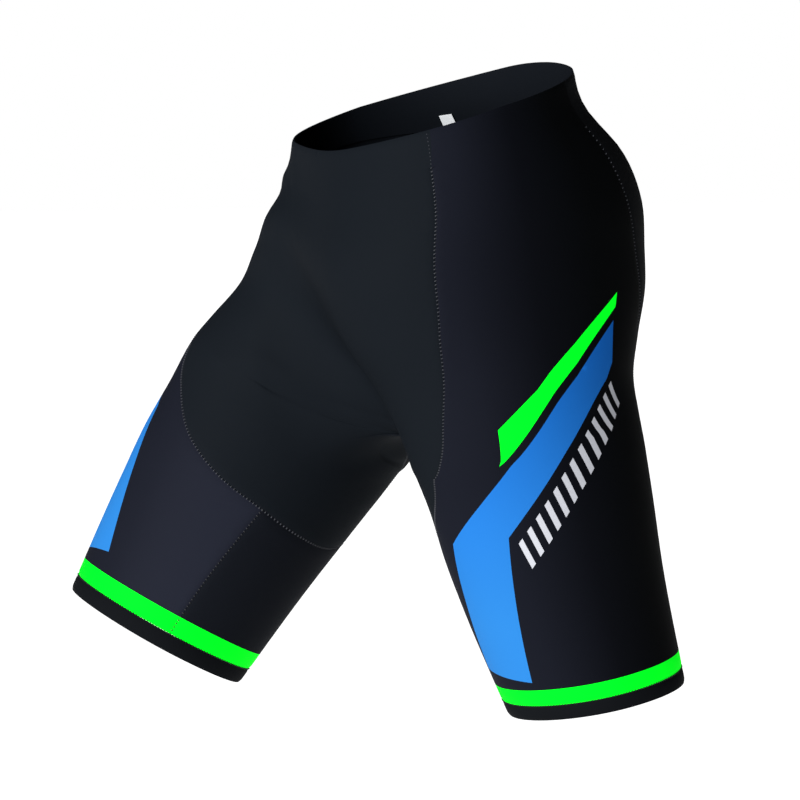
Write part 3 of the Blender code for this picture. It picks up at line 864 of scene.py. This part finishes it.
def back_panel(name, side):
    """Half the seat and the back of one leg."""
    back, seat, inseam = seam_curve(BACK_SEAM), seam_curve(SEAT_SEAM), seam_curve(INSEAM)
    top = straight((BACK_SEAM[0].around, WAISTBAND), (1, WAISTBAND))
    hem = straight((1 + INSEAM[-1].around, HEM_SEAM), (BACK_SEAM[-1].around, HEM_SEAM))
    edge = outline(
        Edge(top, JOINED),
        Edge(straight((1, WAISTBAND), (1, SEAT_JOIN)), SEWN),
        Edge(back_view(seat)[::-1], SEWN),
        Edge(back_view(inseam), SEWN),
        Edge(hem, SEWN),
        Edge(back[::-1], SEWN),
    )
    patch = cut_patch(side, edge, [(GREEN, stripe(*BACK_STRIPE))])
    return sew(name, [patch], CLOTH, [BACK_BLACK, SHADED_BLUE_INK, GLOWING_GREEN_INK, GREY_INK, LINING])


def inner_leg_panel(name, side):
    """The inside of one leg, below the front panel."""
    leg, under, inseam = seam_curve(LEG_SEAM), seam_curve(UNDER_THIGH_SEAM), seam_curve(INSEAM)
    hem = straight((LEG_SEAM[-1].around, HEM_SEAM), (INSEAM[-1].around, HEM_SEAM))
    edge = outline(
        Edge(leg, SEWN),
        Edge(hem, SEWN),
        Edge(inseam[::-1], SEWN),
        Edge(under[::-1], SEWN),
    )
    patch = cut_patch(side, edge, [(GREEN, stripe(*INNER_STRIPE))])
    return sew(name, [patch], CLOTH, [INNER_BLACK, SHADED_BLUE_INK, GLOWING_GREEN_INK, GREY_INK, LINING])


for name, side in NAMED_SIDES:
    outer = side_panel(f"side_panel_cloth_{name}", side)
    dress(outer, f"side_panel_{name}")
    seat = back_panel(f"back_panel_cloth_{name}", side)
    dress(seat, f"back_panel_{name}")
    inner = inner_leg_panel(f"inner_leg_cloth_{name}", side)
    dress(inner, f"inner_leg_panel_{name}")

# %% [markdown]
# ## Waist casing and leg grippers
# At the waist the panels fold over a wide elastic, so no seam shows on the outside and the
# top edge is round. At each hem a narrow elastic band is sewn on below the green stripe.

# %% Casing, grippers and label
LABEL_AROUND = 0.672  # where the care label hangs inside the right half
LABEL_TOP = 19.0
LABEL_WIDTH = 14.0
LABEL_LENGTH = 26.0  # in rows of the pattern, which lie further apart behind
LABEL_CLOTH = 1.0
LABEL_INSET = 2.4 + SEAM_GAP  # how far behind the outer surface it hangs
TAPE, _ = plain_finish("white_tape", (0.72, 0.74, 0.76), 0.7, 0.2)
ELASTIC_BLACK = knit_finish("knit_elastic", (0.0042, 0.0048, 0.0060), roughness=0.8)


def ring_patch(side, top, bottom, kinds, start, end):
    """A level strip of cloth; kinds are those of its top, far end, bottom and near end."""
    edges = (
        straight((start, top), (end, top)),
        straight((end, top), (end, bottom)),
        straight((end, bottom), (start, bottom)),
        straight((start, bottom), (start, top)),
    )
    return cut_patch(side, outline(*(Edge(line, kind) for line, kind in zip(edges, kinds))))


def waistband():
    """The casing, in the colours of the panels that fold over it."""
    breaks = (0, FRONT_SEAM[0].around, BACK_SEAM[0].around, 1)
    patches, grounds = [], []
    for side in (1, -1):
        for k, (start, end) in enumerate(zip(breaks, breaks[1:])):
            patches.append(ring_patch(side, 0, WAISTBAND, (FOLDED, JOINED, JOINED, JOINED), start, end))
            grounds.append(k)
    return sew("waist_casing", patches, ELASTIC, [FRONT_BLACK, SHADED_SIDE_BLACK, BACK_BLACK, LINING], grounds)


def leg_gripper(name, side):
    """The elastic ring below one leg's hem seam."""
    ring = ring_patch(side, HEM_SEAM, SIDE_LENGTH, (SEWN, JOINED, FOLDED, JOINED), 0, 1)
    return sew(name, [ring], ELASTIC, [ELASTIC_BLACK, LINING])


def care_label():
    """A blank tape that hangs inside the back of the casing."""
    half = LABEL_WIDTH / 2 / PANEL_WIDTH
    ends = LABEL_AROUND - half, LABEL_AROUND + half
    strip = ring_patch(-1, LABEL_TOP, LABEL_TOP + LABEL_LENGTH, (JOINED,) * 4, *ends)
    return sew("care_label_tape", [strip], LABEL_CLOTH, [TAPE, TAPE], inset=LABEL_INSET)


dress(waistband(), "waistband")
for name, side in NAMED_SIDES:
    band = leg_gripper(f"leg_gripper_band_{name}", side)
    dress(band, f"leg_gripper_{name}")
dress(care_label(), "care_label")

# %% [markdown]
# ## Stitching
# Flat seams keep the skin from chafing: the two edges lie side by side and threads cross
# over them. Each crossing thread is a short bar laid over the seam. They're small and
# dark grey, so from a distance they read as a fine dotted line.

# %% Threads over the seams
THREAD_PITCH = 2.8  # from one crossing thread to the next, in millimetres
THREAD_REACH = 1.1  # how far a thread reaches to each side of the seam
THREAD_WIDTH = 0.7
THREAD_LIFT = 0.25  # how far it stands above the rolled edges
THREAD_ROOT = 1.6  # how deep its root goes, as a share of the rolled edge
FRONT_SEAM_TOP = Seam(0.326, 3)  # the front seam's threads run on over the casing to here
THREAD, _ = plain_finish("thread_grey", (0.045, 0.047, 0.055), 0.6, 0.2)
DARK_THREAD, _ = plain_finish("thread_black", (0.010, 0.011, 0.013), 0.6, 0.2)


def threads_over(name, side, curve, thread):
    """Short bars that cross one seam, joined into one piece."""
    line = spaced(curve, THREAD_PITCH)
    along = np.gradient(line, axis=0)
    along /= np.linalg.norm(along, axis=1, keepdims=True)
    across = np.stack([-along[:, 1], along[:, 0]], axis=1)
    per_mm = stretch(line, across)[:, None]
    corners = []
    for way in (-1, 1):
        ends = line + way * across * THREAD_REACH / per_mm
        points, facing = cloth_point(np.full(len(ends), side), ends[:, 0] / PANEL_WIDTH, ends[:, 1])
        corners.append((points, facing))
    (near, up_near), (far, up_far) = corners
    facing = (up_near + up_far) / 2
    run = (far - near) / np.linalg.norm(far - near, axis=1, keepdims=True)
    wide = np.cross(facing, run) * THREAD_WIDTH / 2 * MM
    low, high = -facing * SEAM_ROLL * MM, facing * THREAD_LIFT * MM
    middle = (near + far) / 2 + high
    rings = [near + low, middle, far + low]
    vertices, faces = [], []
    for k in range(len(line)):
        start = len(vertices)
        for ring in rings:
            vertices += [ring[k] - wide[k], ring[k] + wide[k]]
        deep = middle[k] + low[k] * THREAD_ROOT
        vertices += [deep - wide[k], deep + wide[k]]
        a, b, c, d, e, f, g, h = range(start, start + 8)
        faces += [(a, b, d, c), (c, d, f, e), (a, g, h, b), (g, e, f, h), (a, c, e, g), (b, h, f, d)]
    mesh = bpy.data.meshes.new(name)
    mesh.from_pydata([tuple(v) for v in vertices], [], faces)
    mesh.materials.append(thread)
    piece = bpy.data.objects.new(name, mesh)
    bpy.context.scene.collection.objects.link(piece)
    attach(piece, "root")
    return piece


threads = []
for name, side in NAMED_SIDES:
    seams = {
        "front_seam": seam_curve([FRONT_SEAM_TOP] + FRONT_SEAM),
        "under_thigh_seam": seam_curve(UNDER_THIGH_SEAM),
        "seat_seam": back_view(seam_curve(SEAT_SEAM)),
        "leg_seam": seam_curve(LEG_SEAM),
        "inseam": seam_curve(INSEAM),
        "back_seam": seam_curve(BACK_SEAM),
    }
    for seam, curve in seams.items():
        colour = DARK_THREAD if seam == "leg_seam" else THREAD
        threads.append(threads_over(f"{seam}_threads_{name}", side, curve, colour))
    ring = straight((0, HEM_SEAM), (1, HEM_SEAM))
    threads.append(threads_over(f"hem_threads_{name}", side, ring, DARK_THREAD))
centre_back = straight((1, WAISTBAND), (1, SEAT_JOIN))
threads.append(threads_over("centre_back_threads", 1, centre_back, THREAD))
print("rows of threads:", len(threads))

# %% [markdown]
# ## The camera
# The shorts are seen from the wearer's left front, a little above the middle of the
# garment, through a long lens that keeps near and far leg in proportion.

# %% Place the camera
VIEW_AZIMUTH, VIEW_ELEVATION = math.radians(65), math.radians(5)
VIEW_DISTANCE = 2.6
LENS, SENSOR = 145.6, 36.0
AIM_RIGHT, AIM_UP = -0.0225, -0.2362  # what the picture's centre looks at, in metres


def look_along(thing, towards):
    """Turns a camera or a lamp so that it faces along a direction."""
    thing.rotation_mode = "QUATERNION"
    thing.rotation_quaternion = Vector(towards).to_track_quat("-Z", "Y")


to_camera = Vector((
    math.sin(VIEW_AZIMUTH) * math.cos(VIEW_ELEVATION),
    -math.cos(VIEW_AZIMUTH) * math.cos(VIEW_ELEVATION),
    math.sin(VIEW_ELEVATION),
))
right = Vector((math.cos(VIEW_AZIMUTH), math.sin(VIEW_AZIMUTH), 0))
up = to_camera.cross(right)
aim = right * AIM_RIGHT + up * AIM_UP
camera = bpy.data.objects.new("camera", bpy.data.cameras.new("camera"))
bpy.context.scene.collection.objects.link(camera)
camera.location = aim + to_camera * VIEW_DISTANCE
camera.data.sensor_width, camera.data.lens = SENSOR, LENS
look_along(camera, -to_camera)
bpy.context.scene.camera = camera
print("camera at, m:", [round(v, 3) for v in camera.location])

# %% [markdown]
# ## The light
# A wide soft light stands to the wearer's front, so the cloth is brightest on the fronts
# of the thighs and falls off to black towards the back. The white room fills the rest.

# %% Light the room
ROOM_LIGHT = 0.03  # the room is dimmer than its white walls look


def soft_light(name, azimuth, elevation, spread, power):
    """A wide light far off; spread is how wide it looks from the shorts, in degrees."""
    a, e = math.radians(azimuth), math.radians(elevation)
    way = Vector((math.sin(a) * math.cos(e), -math.cos(a) * math.cos(e), math.sin(e)))
    lamp = bpy.data.lights.new(name, "SUN")
    lamp.angle, lamp.energy = math.radians(spread), power
    light = bpy.data.objects.new(name, lamp)
    light.location = aim + way
    look_along(light, -way)
    bpy.context.scene.collection.objects.link(light)


soft_light("front_softbox", azimuth=24, elevation=20, spread=34, power=5.4)
world = bpy.data.worlds.new("white_room")
world.use_nodes = True
world.node_tree.nodes["Background"].inputs["Color"].default_value = (1, 1, 1, 1)
links = world.node_tree.links
rays = world.node_tree.nodes.new("ShaderNodeLightPath")
strength = world.node_tree.nodes.new("ShaderNodeMapRange")
strength.inputs["To Min"].default_value = ROOM_LIGHT
links.new(rays.outputs["Is Camera Ray"], strength.inputs["Value"])
links.new(strength.outputs["Result"], world.node_tree.nodes["Background"].inputs["Strength"])
bpy.context.scene.world = world
bpy.context.scene.view_settings.view_transform = "Standard"
print("room light:", ROOM_LIGHT)

# %% [markdown]
# ## The floor
# The floor is plain and pale, and it lies as far below the waist as a standing wearer's
# would. It glows a little, so that it looks as white as the room.

# %% Lay the floor
FLOOR_GLOW = 0.60  # light that comes up through the white floor
FLOOR_SIZE, FLOOR_DROP = 60.0, 1.0  # the waist is about a metre above the floor
floor_mesh = bpy.data.meshes.new("floor")
half = FLOOR_SIZE / 2
floor_corners = [(-half, -half, 0), (half, -half, 0), (half, half, 0), (-half, half, 0)]
floor_mesh.from_pydata(floor_corners, [], [(0, 1, 2, 3)])
floor = bpy.data.objects.new("floor", floor_mesh)
floor.location.z = -FLOOR_DROP
PALE, pale_shader = plain_finish("pale_floor", (0.95, 0.95, 0.95), 0.9, 0.1)
pale_shader.inputs["Emission Color"].default_value = (1, 1, 1, 1)
pale_shader.inputs["Emission Strength"].default_value = FLOOR_GLOW
floor_mesh.materials.append(PALE)
bpy.context.scene.collection.objects.link(floor)
print("floor at, m:", -FLOOR_DROP)
